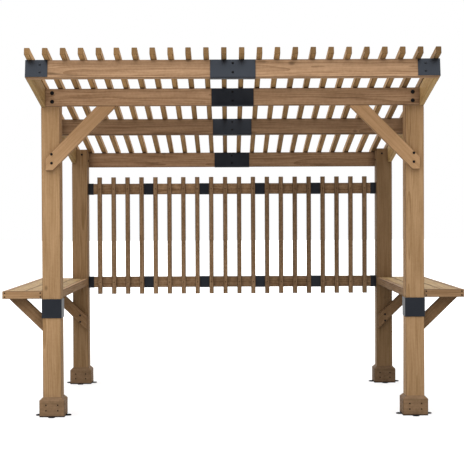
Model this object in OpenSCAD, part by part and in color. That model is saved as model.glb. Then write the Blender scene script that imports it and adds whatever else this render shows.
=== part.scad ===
// Timber bar pergola with a lean-to slatted roof, a slatted rear screen and two side shelves.
// Millimetres. +X is the width, +Y runs from the open front to the rear screen, +Z is up.
// The origin is on the ground, at the middle of the roof in plan.

/* [Frame] */
// Width over the outer faces of the posts
frame_w = 2905; // [2300:1:3500]
// Depth over the outer faces of the posts
frame_d = 1885; // [1500:1:2400]
// Side of the square posts
post_w = 140; // [120:1:170]
// Height of the side beams' underside at the front face of the front posts
soffit_h = 2355; // [2200:1:2700]

/* [Roof] */
// Fall of the roof from front to rear, in degrees
roof_slope = 11.3; // [8:0.1:14]
// Height of every beam
beam_h = 132; // [110:1:160]
// Thickness of every beam
beam_t = 38; // [30:1:46]
// Distance up the slope from the front posts to the face of the front beam
front_reach = 706; // [500:1:900]
// Distance down the slope from the front posts to the face of the middle beam
middle_beam_at = 800; // [500:1:1000]
// Length of the side beams past the rear beam, down the slope
side_beam_tail = 60; // [30:1:120]
// Number of roof slats
slat_count = 24; // [18:1:28]
// Width of a roof slat
slat_w = 38; // [30:1:50]
// Height of a roof slat
slat_h = 50; // [38:1:70]
// Length of a roof slat past the front beam
slat_front_overhang = 113; // [60:1:180]
// Length of a roof slat past the ends of the side beams
slat_rear_overhang = 55; // [30:1:120]
// Distance from the side beams' outer faces to the outermost slats
slat_inset = 6; // [0:1:20]
// Space between the top of a post and the slats
post_top_gap = 12; // [4:1:30]
// Space between the top of a plumb beam and the slats
plumb_beam_gap = 1; // [0.5:0.5:4]

/* [Steel fittings] */
// Thickness of the beam saddles and corner brackets
fitting_t = 4; // [3:0.5:6]
// Length of the saddle that splices a beam at its middle
saddle_l = 318; // [240:1:400]
// Depth of the beam's top edge above the rim of a saddle
saddle_rim_drop = 2; // [1:0.5:6]
// Gap between the two lengths of a spliced timber
splice_gap = 2; // [1:0.5:4]
// Width of a corner bracket on the front beam
bracket_front_w = 158; // [120:1:220]
// Length of a corner bracket along the side beam
bracket_side_l = 150; // [110:1:220]
// Height of a corner bracket's lower edge above the beams' underside
bracket_lift = 8; // [0:1:20]
// Height of the sleeve that joins the two lengths of a front post
sleeve_h = 145; // [110:1:180]
// Thickness of the sleeve
sleeve_t = 6; // [4:0.5:8]
// Space between the top of the sleeve and the underside of the shelf
sleeve_drop = 1; // [1:1:20]

/* [Knee braces] */
// Width of a knee brace across its length
knee_w = 105; // [80:1:130]
// Height from the foot of a knee brace to the beam
knee_drop = 484; // [380:1:600]
// Distance from the post's outer face to the plumb cut of a knee brace
knee_inset = 34; // [20:1:50]
// Width of the level cut at the foot of a knee brace
knee_foot = 57; // [40:1:70]

/* [Post feet] */
// Height of the boards round a post's foot
trim_h = 145; // [110:1:200]
// Thickness of the boards round a post's foot
trim_t = 25; // [18:1:32]
// Size of the cut at each upper corner of those boards
trim_chamfer = 25; // [10:1:40]
// Gap at the mitres of those boards
trim_gap = 1; // [0.5:0.5:3]
// Thickness of the steel base plate
base_t = 6; // [4:1:10]
// Length of an ear of the base plate past the boards
ear_l = 41; // [34:1:70]
// Width of an ear of the base plate
ear_w = 52; // [40:1:70]
// Diameter of the anchor hole in an ear
anchor_d = 12; // [8:1:16]

/* [Rear screen] */
// Number of slats in a panel
panel_slats = 4; // [3:1:5]
// Height of the lower ends of the screen slats
screen_foot_h = 815; // [600:1:900]
// Space between the screen slats and the rear beam
screen_top_gap = 96; // [30:1:200]
// Width of a screen slat
screen_slat_w = 40; // [30:1:48]
// Thickness of a screen slat
screen_slat_t = 38; // [24:1:44]
// Height of a screen rail
rail_h = 97; // [70:1:120]
// Thickness of a screen rail
rail_t = 38; // [30:1:44]
// Distance from a slat's end to the nearer rail
rail_inset = 58; // [30:1:100]
// Space between the posts and the first slat's field
screen_margin = 44; // [35:1:60]
// Distance from the rear posts' front faces to the slats
screen_setback = 13; // [5:1:25]
// Thickness of the screen's clips and end brackets
clip_t = 3; // [2:0.5:4]
// Space between a clip and the slats beside it
clip_side_gap = 1.5; // [1:0.5:5]
// Length of an end bracket on the rail
end_bracket_l = 49; // [40:1:60]

/* [Shelves] */
// Height of the top of a shelf
shelf_h = 957; // [880:1:1050]
// Width of a shelf from the posts' inner faces to its outer edge
shelf_w = 448; // [400:1:560]
// Distance from the posts' faces to the ends of a shelf
shelf_setback = 12; // [5:1:40]
// Height of the shelf's rails
apron_h = 60; // [50:1:90]
// Thickness of the shelf's rails
apron_t = 38; // [30:1:44]
// Thickness of the shelf boards
deck_t = 25; // [20:1:30]
// Gap between shelf boards
deck_gap = 4; // [1:0.5:6]
// Width of a shelf brace across its length
shelf_brace_w = 90; // [70:1:110]
// Thickness of a shelf brace
shelf_brace_t = 38; // [30:1:44]
// Angle of a shelf brace from level, in degrees
shelf_brace_angle = 44; // [38:1:50]
// Distance from the shelf's outer edge to the top of a brace
shelf_brace_inset = 20; // [5:1:60]
// Distance from a post's inner face to the foot of a shelf brace
shelf_brace_setback = 8; // [0:1:30]

/* [Hidden] */
timber = "#b08b65";
timber_light = "#c3a177";
timber_dark = "#8a6a4c";
steel = "#33353a";
$fn = 48;
// Overlap of a cutting solid past the face that it cuts
cut = 1;

// Roof plane: heights above the side beams' underside are measured square to the slope
slat_l = front_reach + slat_front_overhang + (frame_d + beam_t) / cos(roof_slope)
       + side_beam_tail + slat_rear_overhang;
roof_front_u = -front_reach - slat_front_overhang;
roof_rear_u = roof_front_u + slat_l;
side_beam_end_u = roof_rear_u - slat_rear_overhang;

// Plan places, from the middle of the roof
roof_front_y = roof_front_u * cos(roof_slope) + beam_h * sin(roof_slope);
roof_rear_y = roof_rear_u * cos(roof_slope) + (beam_h + slat_h) * sin(roof_slope);
front_y = -(roof_front_y + roof_rear_y) / 2;
rear_y = front_y + frame_d;
outer_x = frame_w / 2;
inner_x = outer_x - post_w;
beam_half = outer_x - beam_t;
post_x = outer_x - post_w / 2;
front_post_y = front_y + post_w / 2;
rear_post_y = rear_y - post_w / 2;

// Height of the slats' underside at a plan place
function slat_seat_z(y) = soffit_h + beam_h / cos(roof_slope) - (y - front_y) * tan(roof_slope);
front_plumb_z = slat_seat_z(front_y) - plumb_beam_gap - beam_h;
rear_plumb_z = slat_seat_z(rear_y + beam_t) - plumb_beam_gap - beam_h;

slat_pitch = (frame_w - 2 * slat_inset - slat_w) / (slat_count - 1);

shelf_foot_z = shelf_h - apron_h;
deck_z = shelf_h - deck_t;
sleeve_z = shelf_foot_z - sleeve_drop - sleeve_h;
post_joint_z = sleeve_z + sleeve_h / 2;

// Panels in the screen, one node each
panel_count = 5;
screen_w = frame_w - 2 * post_w;
screen_slats = panel_count * panel_slats;
screen_pitch = (screen_w - 2 * screen_margin) / screen_slats;
screen_slat_y = rear_y - post_w + screen_setback;
screen_slat_l = rear_plumb_z - screen_top_gap - screen_foot_h;
rail_y = screen_slat_y + screen_slat_t;
rail_feet = [screen_foot_h + rail_inset, screen_foot_h + screen_slat_l - rail_inset - rail_h];
clip_l = screen_pitch - screen_slat_w - 2 * clip_side_gap;

foot_half = post_w / 2 + trim_t;
anchor_r = foot_half + ear_l / 2;

shelf_edge_x = inner_x + shelf_w;
shelf_front_y = front_y + shelf_setback;
shelf_rear_y = rear_y - shelf_setback;

// Draws the right-hand piece, or its mirror image on the left
module on_side(side) {
    if (side == "right") children();
    else mirror([1, 0, 0]) children();
}

// Turns a piece drawn level from the front posts' face so that it lies in the slope of the roof
module on_slope() {
    translate([0, front_y, soffit_h]) rotate([-roof_slope, 0, 0]) children();
}

// A square post from one height to another
module post_length(y, foot_z, top_z) {
    translate([post_x - post_w / 2, y - post_w / 2, foot_z]) cube([post_w, post_w, top_z - foot_z]);
}

// A post that carries the roof: its outer side is let in for the side beam, its top follows the slope
module roof_post(y, foot_z) {
    tall = slat_seat_z(y - post_w) + post_w;
    reach = front_reach + frame_d;
    color(timber) difference() {
        post_length(y, foot_z, tall);
        on_slope() translate([beam_half, -reach, 0]) cube([beam_t + cut, 2 * reach, tall]);
        on_slope() translate([inner_x - cut, -reach, beam_h - post_top_gap])
            cube([post_w + 2 * cut, 2 * reach, tall]);
    }
}

module front_post_lower(side) {
    color(timber) on_side(side) post_length(front_post_y, base_t, post_joint_z - splice_gap / 2);
}

module front_post_upper(side) {
    on_side(side) roof_post(front_post_y, post_joint_z + splice_gap / 2);
}

module back_post(side) {
    on_side(side) roof_post(rear_post_y, base_t);
}

// One board of the casing at a post's foot: cut upper corners and mitred ends
module foot_board() {
    outline = [
        [-foot_half, 0], [foot_half, 0], [foot_half, trim_h - trim_chamfer],
        [foot_half - trim_chamfer, trim_h], [trim_chamfer - foot_half, trim_h],
        [-foot_half, trim_h - trim_chamfer]
    ];
    mitre = foot_half - trim_gap;
    heel = mitre - trim_t;
    intersection() {
        translate([0, trim_t - foot_half, 0]) rotate([90, 0, 0]) linear_extrude(trim_t) polygon(outline);
        linear_extrude(trim_h)
            polygon([[-mitre, -foot_half], [mitre, -foot_half], [heel, trim_t - foot_half],
                     [-heel, trim_t - foot_half]]);
    }
}

module foot_boards(side, y) {
    color(timber_dark) on_side(side) translate([post_x, y, base_t])
        for (quarter = [0 : 3]) rotate(90 * quarter) foot_board();
}

// Square steel plate with a round-ended ear on each side, drilled for ground anchors
module base_plate(side, y) {
    color(steel) on_side(side) translate([post_x, y, 0]) linear_extrude(base_t) difference() {
        union() {
            square(2 * foot_half, center = true);
            for (quarter = [0 : 3]) rotate(90 * quarter) {
                translate([0, -ear_w / 2]) square([foot_half + ear_l - ear_w / 2, ear_w]);
                translate([foot_half + ear_l - ear_w / 2, 0]) circle(d = ear_w);
            }
        }
        for (quarter = [0 : 3]) rotate(90 * quarter) translate([anchor_r, 0]) circle(d = anchor_d);
    }
}

module post_sleeve(side) {
    color(steel) on_side(side) translate([post_x, front_post_y, sleeve_z]) linear_extrude(sleeve_h)
        difference() {
            square(post_w + 2 * sleeve_t, center = true);
            square(post_w, center = true);
        }
}

// Brace at 45 degrees from the front post's face to the underside of the beam on that face
module knee_brace(side) {
    toe = outer_x - knee_inset;
    foot_z = front_plumb_z - knee_drop;
    shoulder = knee_w * sqrt(2) - knee_foot;
    outline = [
        [toe, foot_z], [toe - knee_foot, foot_z], [toe - knee_foot - knee_drop, front_plumb_z],
        [toe + shoulder - knee_drop, front_plumb_z], [toe, foot_z + shoulder]
    ];
    color(timber) on_side(side) translate([0, front_y, 0]) rotate([90, 0, 0])
        linear_extrude(beam_t) polygon(outline);
}

module side_beam(side) {
    color(timber) on_side(side) on_slope() translate([beam_half, beam_t - front_reach, 0])
        cube([beam_t, side_beam_end_u + front_reach - beam_t, beam_h]);
}

// Two equal lengths of beam that meet at the middle, from their lower front edge
module spliced_beam(half_w) {
    for (hand = [-1, 1])
        translate([hand == 1 ? splice_gap / 2 : -half_w, 0, 0])
            cube([half_w - splice_gap / 2, beam_t, beam_h]);
}

module at_front_beam() {
    on_slope() translate([0, -front_reach, 0]) children();
}

module at_front_post_beam() {
    translate([0, front_y - beam_t, front_plumb_z]) children();
}

module at_middle_beam() {
    on_slope() translate([0, middle_beam_at, 0]) children();
}

module at_rear_beam() {
    translate([0, rear_y, rear_plumb_z]) children();
}

module front_beam() {
    color(timber) at_front_beam() spliced_beam(outer_x);
}

module front_post_beam() {
    color(timber) at_front_post_beam() spliced_beam(beam_half);
}

module middle_beam() {
    color(timber_dark) at_middle_beam() spliced_beam(beam_half);
}

module rear_beam() {
    color(timber_dark) at_rear_beam() spliced_beam(beam_half);
}

// Folded steel channel that cups a beam from below over its splice
module saddle() {
    rim = beam_h - saddle_rim_drop;
    color(steel) translate([-saddle_l / 2, 0, 0]) rotate([90, 0, 90]) linear_extrude(saddle_l)
        difference() {
            translate([-fitting_t, -fitting_t]) square([beam_t + 2 * fitting_t, rim + fitting_t]);
            square([beam_t, beam_h]);
        }
}

// Folded steel angle round the front corner of the roof
module corner_bracket(side) {
    color(steel) on_side(side) at_front_beam() translate([0, 0, bracket_lift])
        linear_extrude(beam_h - bracket_lift) difference() {
            translate([outer_x + fitting_t - bracket_front_w, -fitting_t])
                square([bracket_front_w, bracket_side_l]);
            translate([outer_x - bracket_front_w, 0]) square([bracket_front_w, bracket_side_l]);
        }
}

module roof_slats() {
    first_x = slat_inset - outer_x;
    color(timber_light) on_slope() for (i = [0 : slat_count - 1])
        translate([first_x + i * slat_pitch, roof_front_u, beam_h]) cube([slat_w, slat_l, slat_h]);
}

// Left-hand end of a panel's field, counted from the left end of the screen
function panel_edge(i) = i * panel_slats * screen_pitch - screen_w / 2 + screen_margin;

// One panel: upright slats in front of two rails, which reach the end brackets on the outer panels
module screen_panel(i) {
    left_x = i == 0 ? clip_t - screen_w / 2 : panel_edge(i) + splice_gap / 2;
    right_x = i == panel_count - 1 ? screen_w / 2 - clip_t : panel_edge(i + 1) - splice_gap / 2;
    color(timber_dark) {
        for (foot = rail_feet) translate([left_x, rail_y, foot]) cube([right_x - left_x, rail_t, rail_h]);
        for (k = [0 : panel_slats - 1])
            translate([panel_edge(i) + (k + 0.5) * screen_pitch - screen_slat_w / 2, screen_slat_y,
                       screen_foot_h])
                cube([screen_slat_w, screen_slat_t, screen_slat_l]);
    }
}

// Folded channel over a rail: a front plate with a lip above and below
module rail_channel(length) {
    translate([0, rail_y, 0]) rotate([90, 0, 90]) linear_extrude(length) difference() {
        translate([-clip_t, -clip_t]) square([rail_t + clip_t, rail_h + 2 * clip_t]);
        square([rail_t + cut, rail_h]);
    }
}

module screen_clips() {
    color(steel) for (i = [1 : panel_count - 1], foot = rail_feet)
        translate([panel_edge(i) - clip_l / 2, 0, foot]) rail_channel(clip_l);
}

// Channel with a plate at its end that is screwed to the post
module screen_end_brackets() {
    color(steel) for (side = ["left", "right"], foot = rail_feet) on_side(side)
        translate([inner_x - end_bracket_l, 0, foot]) {
            rail_channel(end_bracket_l);
            translate([end_bracket_l - clip_t, rail_y - clip_t, -clip_t])
                cube([clip_t, rail_t + clip_t, rail_h + 2 * clip_t]);
        }
}

// Rails along a shelf: outer edge, joist on the posts' outer faces, inner rail between the posts
module shelf_long_rails(side) {
    run_y = shelf_front_y + apron_t;
    run_l = shelf_rear_y - shelf_front_y - 2 * apron_t;
    color(timber) on_side(side) {
        translate([shelf_edge_x - apron_t, run_y, shelf_foot_z]) cube([apron_t, run_l, apron_h]);
        translate([outer_x, run_y, shelf_foot_z]) cube([apron_t, run_l, apron_h - deck_t]);
        translate([inner_x, front_y + post_w, shelf_foot_z])
            cube([apron_t, frame_d - 2 * post_w, apron_h]);
    }
}

// Rails across a shelf: one at each end, and bearers under the boards where the braces meet them
module shelf_cross_rails(side) {
    bearer_y = [front_y + post_w, (front_y + rear_y - apron_t) / 2, rear_y - post_w - apron_t];
    bearer_h = apron_h - deck_t;
    color(timber) on_side(side) {
        for (y = [shelf_front_y, shelf_rear_y - apron_t])
            translate([outer_x, y, shelf_foot_z]) cube([shelf_edge_x - outer_x, apron_t, apron_h]);
        for (y = bearer_y) {
            translate([outer_x + apron_t, y, shelf_foot_z])
                cube([shelf_edge_x - outer_x - 2 * apron_t, apron_t, bearer_h]);
            translate([inner_x + apron_t, y, shelf_foot_z])
                cube([post_w - apron_t, apron_t, bearer_h]);
        }
    }
}

// Two full boards outside the posts and a narrow one between them, let in behind the rails
module shelf_deck(side) {
    outer_l = shelf_rear_y - shelf_front_y - 2 * apron_t;
    field_w = shelf_edge_x - apron_t - outer_x;
    board_w = (field_w - deck_gap) / 2;
    color(timber_light) on_side(side) {
        for (i = [0, 1])
            translate([outer_x + i * (board_w + deck_gap), shelf_front_y + apron_t, deck_z])
                cube([board_w, outer_l, deck_t]);
        translate([inner_x + apron_t, front_y + post_w, deck_z])
            cube([post_w - apron_t - deck_gap, frame_d - 2 * post_w, deck_t]);
    }
}

// A brace behind the front post and one before the rear post, under the bearers
module shelf_braces(side) {
    tip = shelf_edge_x - shelf_brace_inset;
    heel = inner_x + shelf_brace_setback;
    run = tip - heel;
    head = shelf_brace_w / sin(shelf_brace_angle);
    rise = tan(shelf_brace_angle);
    outline = [
        [tip, shelf_foot_z], [tip - head, shelf_foot_z],
        [heel, shelf_foot_z - (run - head) * rise], [heel, shelf_foot_z - run * rise]
    ];
    color(timber) on_side(side) for (y = [front_y + post_w + shelf_brace_t, rear_y - post_w])
        translate([0, y, 0]) rotate([90, 0, 0]) linear_extrude(shelf_brace_t) polygon(outline);
}

front_post_lower("left");  // front_left_post_lower
front_post_lower("right");  // front_right_post_lower
front_post_upper("left");  // front_left_post_upper
front_post_upper("right");  // front_right_post_upper
back_post("left");  // back_left_post
back_post("right");  // back_right_post
foot_boards("left", front_post_y);  // front_left_foot_boards
foot_boards("right", front_post_y);  // front_right_foot_boards
foot_boards("left", rear_post_y);  // back_left_foot_boards
foot_boards("right", rear_post_y);  // back_right_foot_boards
base_plate("left", front_post_y);  // front_left_base_plate
base_plate("right", front_post_y);  // front_right_base_plate
base_plate("left", rear_post_y);  // back_left_base_plate
base_plate("right", rear_post_y);  // back_right_base_plate
post_sleeve("left");  // left_post_sleeve
post_sleeve("right");  // right_post_sleeve
knee_brace("left");  // left_knee_brace
knee_brace("right");  // right_knee_brace
side_beam("left");  // left_side_beam
side_beam("right");  // right_side_beam
front_beam();
front_post_beam();
middle_beam();
rear_beam();
at_front_beam() saddle();  // front_beam_saddle
at_front_post_beam() saddle();  // front_post_beam_saddle
at_middle_beam() saddle();  // middle_beam_saddle
at_rear_beam() saddle();  // rear_beam_saddle
corner_bracket("left");  // left_corner_bracket
corner_bracket("right");  // right_corner_bracket
roof_slats();
screen_panel(0);  // screen_panel_1
screen_panel(1);  // screen_panel_2
screen_panel(2);  // screen_panel_3
screen_panel(3);  // screen_panel_4
screen_panel(4);  // screen_panel_5
screen_clips();
screen_end_brackets();
shelf_long_rails("left");  // left_shelf_long_rails
shelf_cross_rails("left");  // left_shelf_cross_rails
shelf_deck("left");  // left_shelf_deck
shelf_braces("left");  // left_shelf_braces
shelf_long_rails("right");  // right_shelf_long_rails
shelf_cross_rails("right");  // right_shelf_cross_rails
shelf_deck("right");  // right_shelf_deck
shelf_braces("right");  // right_shelf_braces
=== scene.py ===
"""Finished timber, coated steel, fixings and a studio stage for the bar pergola, laid out as an add-on."""
from itertools import product

import bpy
import numpy as np
from mathutils import Euler, Matrix, Vector


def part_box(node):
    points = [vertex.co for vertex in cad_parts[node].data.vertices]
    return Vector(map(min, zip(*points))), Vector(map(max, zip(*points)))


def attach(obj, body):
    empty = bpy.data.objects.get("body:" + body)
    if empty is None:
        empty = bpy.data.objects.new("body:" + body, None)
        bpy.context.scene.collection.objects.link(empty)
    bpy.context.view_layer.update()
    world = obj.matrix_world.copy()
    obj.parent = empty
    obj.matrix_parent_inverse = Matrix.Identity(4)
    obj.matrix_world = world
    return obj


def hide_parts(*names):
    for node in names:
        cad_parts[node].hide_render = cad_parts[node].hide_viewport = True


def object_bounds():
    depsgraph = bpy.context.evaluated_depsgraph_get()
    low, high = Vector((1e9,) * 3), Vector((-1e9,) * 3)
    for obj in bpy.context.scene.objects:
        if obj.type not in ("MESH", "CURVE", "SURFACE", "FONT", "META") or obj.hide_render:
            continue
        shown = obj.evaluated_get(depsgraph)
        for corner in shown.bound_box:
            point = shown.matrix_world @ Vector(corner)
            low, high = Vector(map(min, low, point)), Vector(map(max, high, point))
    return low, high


bl_info = {
    "name": "Bar pergola",
    "version": (1, 0, 0),
    "blender": (4, 5, 0),
    "location": "3D View > Sidebar > Pergola",
    "description": "Dresses the pergola's frame with stained timber, coated steel and fixings",
    "category": "Object",
}

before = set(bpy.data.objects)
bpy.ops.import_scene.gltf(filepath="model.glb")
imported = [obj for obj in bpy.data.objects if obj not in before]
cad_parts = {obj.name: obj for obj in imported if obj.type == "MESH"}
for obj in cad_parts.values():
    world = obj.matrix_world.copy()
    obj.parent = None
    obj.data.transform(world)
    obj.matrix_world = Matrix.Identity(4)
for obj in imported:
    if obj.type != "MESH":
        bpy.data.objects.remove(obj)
CAD_LOW, CAD_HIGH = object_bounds()

# Millimetres to Blender's metres
MM = 0.001
# Axes of the shared frame, then those of an outline seen from the front and from the side
X, Y, Z = np.eye(3)
FRONT_AXES = np.array([X, Z, -Y])
SIDE_AXES = np.array([Y, Z, X])
# Decimals of a metre to which a solid's corner points are merged, and to which its levels are told apart
WELD_DIGITS = 5
LEVEL_DIGITS = 4
# Cosine below which two edges of a solid are square to each other, and above which a facing is upright
SQUARE_COSINE = 1e-3
UPRIGHT_COSINE = 0.9

SIDES = ("left", "right")
CORNERS = ("front_left", "front_right", "back_left", "back_right")
CROSS_BEAMS = ("front_beam", "front_post_beam", "middle_beam", "rear_beam")
SCREEN_PANELS = tuple(f"screen_panel_{number}" for number in range(1, 6))

# Steps round each arris and bend, each bolt and each screw
ARC_STEPS = 3
BOLT_STEPS = 24
SCREW_STEPS = 12
# Rounding of a piece's ends, and the plain strip beside each arris, as shares of its smallest arris
END_SHARE = 0.5
PLAIN_SHARE = 0.4

# Tone of pieces deeper or paler than others of their slot: partly their own stain, partly painted shade,
# deepest on the rear posts and the pieces under the roof
PIECE_TONES_AND_SHADE = {
    "back_left_post": 0.75, "back_right_post": 0.50, "front_right_post_lower": 0.88,
    "front_left_foot": 1.14, "front_right_foot": 0.97, "back_left_foot": 1.02, "back_right_foot": 0.79,
    "left_side_beam": 0.98, "right_side_beam": 1.32, "middle_beam": 0.70, "rear_beam": 0.84,
    "left_knee": 1.03, "right_knee": 1.28,
    "left_shelf_long": 0.82, "left_shelf_cross": 0.82, "right_shelf_long": 0.68, "right_shelf_cross": 0.68,
    "screen_panel_1": 0.96, "screen_panel_2": 1.06, "screen_panel_3": 0.90, "screen_panel_4": 0.74,
    "screen_panel_5": 0.80,
}
# Tone of the left and right lengths of each cross beam
LENGTH_TONES = {
    "front_beam": (0.99, 1.07), "front_post_beam": (1.0, 0.88), "middle_beam": (0.91, 0.94),
    "rear_beam": (0.96, 0.94),
}
# Tone of the front and rear brace of each shelf
SHELF_BRACE_TONES = {"left": (0.58, 0.82), "right": (0.57, 0.49)}
# Tone of the screen's lower and upper rails beside that of its slats: painted light, paler rails where they
# stand in shade behind the slats, the upper one also under the roof
SCREEN_RAIL_PAINTED_LIGHT = (1.15, 1.42)
# Tone of the roof slats at the roof's middle, and how much paler they are painted at its left end: painted
# light from the left
SLAT_TONE = 0.95
SLAT_LIGHT_LEAN = 0.18
# Share by which a front post's length is painted paler at its top, under the roof or shelf, than at its
# middle: painted light where the roof shades the top
POST_PAINTED_LIGHT = 0.10
# The same share on the front beams, negative: painted shade, deeper along the top where the slats overhang
# them
BEAM_PAINTED_SHADE = -0.05
# Share of the arrises' dark stain laid on the bevels of the foot boards as painted shade, against the light
# from above
BEVEL_PAINTED_SHADE = 0.4

# Metres of figure along the grain from which each board takes its own stretch
FIGURE_RUN = 50.0
# Cosine between a face's normal and the grain from which the face shows end grain
END_GRAIN_COSINE = 0.75
# Least and most distance of the pith from a board's centre, through and across it, in board widths
PITH_THROUGH = (0.5, 1.6)
PITH_ACROSS = (0.0, 0.3)
# The same in metres, both ways, for timbers of other stock
POST_PITH = (0.01, 0.06)
BRACE_PITH = (0.06, 0.14)
FOOT_PITH = (0.05, 0.12)

# Timber finishes: name, first word of the two stains among the settings, then the strength of the mottle, of
# the painted shade in joints and of the stain in arrises
TIMBER_FINISHES = {
    "post_timber": ("stained softwood, posts", "post", 0.3, 0.3, 1.0),
    "beam_timber": ("stained softwood, beams", "beam", 0.5, 0.9, 1.0),
    "side_beams": ("stained softwood, side beams", "side", 0.5, 0.3, 0.25),
    "roof_slats": ("stained softwood, roof slats", "slat", 0.0, 0.6, 1.0),
    "brace_and_rail_timber": ("stained softwood, braces and rails", "rail", 0.3, 0.6, 1.0),
    "shelf_braces": ("stained sawn softwood, shelf braces", "rail", 1.0, 0.6, 1.0),
    "screen_timber": ("stained softwood, screen", "screen", 1.2, 0.3, 1.0),
    "shelf_boards": ("stained softwood, shelf boards", "deck", 0.0, 0.6, 1.0),
    "foot_boards": ("stained softwood, foot boards", "foot", 2.4, 0.6, 1.0),
}
# Power by which each growth ring deepens slowly and ends sharply
RING_POWER = 2.2
# Weights of rings, fibre streaks and bands in the depth of the stain, and the range that the sum mostly takes
RING_WEIGHT = 0.5
FIBRE_WEIGHT = 1.1
BAND_WEIGHT = 0.75
STAIN_RANGE = (0.68, 1.46)
# Stain in an arris without a streak, and what a full streak adds to it
ARRIS_STAIN = (0.3, 0.8)
# Depth of a drying check in the relief, in heights of the fibres
CHECK_DEPTH = 3.0
# Brightness of knots, checks, soaked edges and the painted shade in joints, and of end grain, as shares of
# the deep stain's
DEEP_STAIN_AND_SHADE = 0.4
END_GRAIN_SHADE = 0.6
# Strength of knots and checks, and of end grain, over the stain
FLAW_STRENGTH = 0.7
END_GRAIN_STRENGTH = 0.75
# Rays that feel for joints round each point, for the painted shade in joints
JOINT_RAYS = 8
# Powder coats: least and most roughness, and specular level
BLACK_COAT = "black powder-coated steel"
# The shaded coat is the black coat with a weaker reflection: painted shade on the middle saddle under the
# roof
SHADED_COAT = "dulled powder-coated steel"
SCOURED_COAT = "scoured powder-coated steel"
COATS = {BLACK_COAT: (0.28, 0.36, 0.53), SHADED_COAT: (0.30, 0.38, 0.37), SCOURED_COAT: (0.8, 0.95, 0.0)}
# Brightness of rubbed bolts and screws as a share of their coat's
RUBBED_SHADE = 1.8

# Width and height of the picture in pixels, and the camera's sensor
PICTURE_PX = 464
SENSOR_MM = 36.0
# Distances from the part, in metres, between which the floor goes over to white
FLOOR_FADE = (2.0, 7.0)
# Upward part of a ray's direction over which the dome sets in, and rearward part over which the backdrop does
DOME_EDGE = (0.22, 0.46)
BACKDROP_EDGE = (-0.1, 0.6)
# Place, target, width and height of the soft box in front, in metres
KEY_PLACE = Vector((-1.0, -3.6, 1.95))
KEY_TARGET = Vector((0.0, 0.0, 1.9))
KEY_SIZE = (4.0, 2.4)
WHITE = (1.0, 1.0, 1.0, 1.0)


# Settings

def linear(hex_colour):
    """Linear red, green and blue of an sRGB colour written as a hex value."""
    srgb = np.array([int(hex_colour[start:start + 2], 16) for start in (1, 3, 5)]) / 255
    curved = ((srgb + 0.055) / 1.055) ** 2.4
    return tuple(np.where(srgb <= 0.04045, srgb / 12.92, curved))


def number_setting(name, description, default, **kind):
    """A number that a user may change."""
    return bpy.props.FloatProperty(name=name, description=description, default=default, **kind)


def length_setting(name, description, millimetres, least=0.0):
    """A length that a user may change, given in millimetres."""
    return number_setting(name, description, millimetres * MM, min=least * MM, precision=4, unit="LENGTH")


def angle_setting(name, description, degrees):
    """An angle that a user may change, given in degrees."""
    return number_setting(name, description, np.radians(degrees), subtype="ANGLE")


def spread_setting(name, description, default):
    """A difference in tone that a user may change."""
    return number_setting(name, description, default, min=0.0, max=0.5, subtype="FACTOR")


def colour_setting(name, description, hex_colour):
    """A colour that a user may change, given as an sRGB hex value."""
    return bpy.props.FloatVectorProperty(
        name=name, description=description, default=linear(hex_colour), size=3, min=0.0, max=1.0,
        subtype="COLOR")


class PergolaTimber(bpy.types.PropertyGroup):
    """Sizes and colours of the timber."""

    arris: length_setting("Arris", "Radius of the rounded edges of posts and beams", 4)
    thin_arris: length_setting("Thin arris", "Radius of the rounded edges of slats and boards", 3.5)
    deck_arris: length_setting("Shelf arris", "Radius of the shelf boards' rounded edges", 5)
    foot_arris: length_setting("Foot arris", "Radius of the foot boards' rounded edges", 5)
    # Reach of the painted shade that darkens the timber near joints
    grime_reach: length_setting("Joint shade", "Distance from a joint to which stain and grime gather", 80)
    ring_spacing: length_setting("Ring spacing", "Distance between growth rings", 6)
    fibre_width: length_setting("Fibre width", "Width of the finest streaks, drawn coarse to show", 7)
    tone_spread: spread_setting("Tone spread", "Difference in tone from board to board", 0.09)
    slat_spread: spread_setting("Roof slat spread", "Difference in tone from slat to slat of the roof", 0.13)
    post_pale: colour_setting("Post, pale", "Stain on the posts' earlywood", "#b08e69")
    post_deep: colour_setting("Post, deep", "Stain on the posts' latewood", "#8d6d49")
    beam_pale: colour_setting("Beam, pale", "Stain on the beams' earlywood", "#b99573")
    beam_deep: colour_setting("Beam, deep", "Stain on the beams' latewood", "#8c6c4f")
    side_pale: colour_setting("Side beam, pale", "Stain on the side beams' earlywood", "#ad9063")
    side_deep: colour_setting("Side beam, deep", "Stain on the side beams' latewood", "#8e7248")
    slat_pale: colour_setting("Roof slat, pale", "Stain on the roof slats' earlywood", "#c09a68")
    slat_deep: colour_setting("Roof slat, deep", "Stain on the roof slats' latewood", "#886640")
    rail_pale: colour_setting("Rail, pale", "Stain on the braces' and shelf rails' earlywood", "#b38f6a")
    rail_deep: colour_setting("Rail, deep", "Stain on the braces' and shelf rails' latewood", "#93714e")
    screen_pale: colour_setting("Screen, pale", "Stain on the screen's earlywood", "#9f8162")
    screen_deep: colour_setting("Screen, deep", "Stain on the screen's latewood", "#775b40")
    deck_pale: colour_setting("Shelf board, pale", "Stain on the shelf boards' earlywood", "#a2875c")
    deck_deep: colour_setting("Shelf board, deep", "Stain on the shelf boards' latewood", "#856b47")
    foot_pale: colour_setting("Foot board, pale", "Stain on the foot boards' earlywood", "#896d52")
    foot_deep: colour_setting("Foot board, deep", "Stain on the foot boards' latewood", "#775e45")


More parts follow.
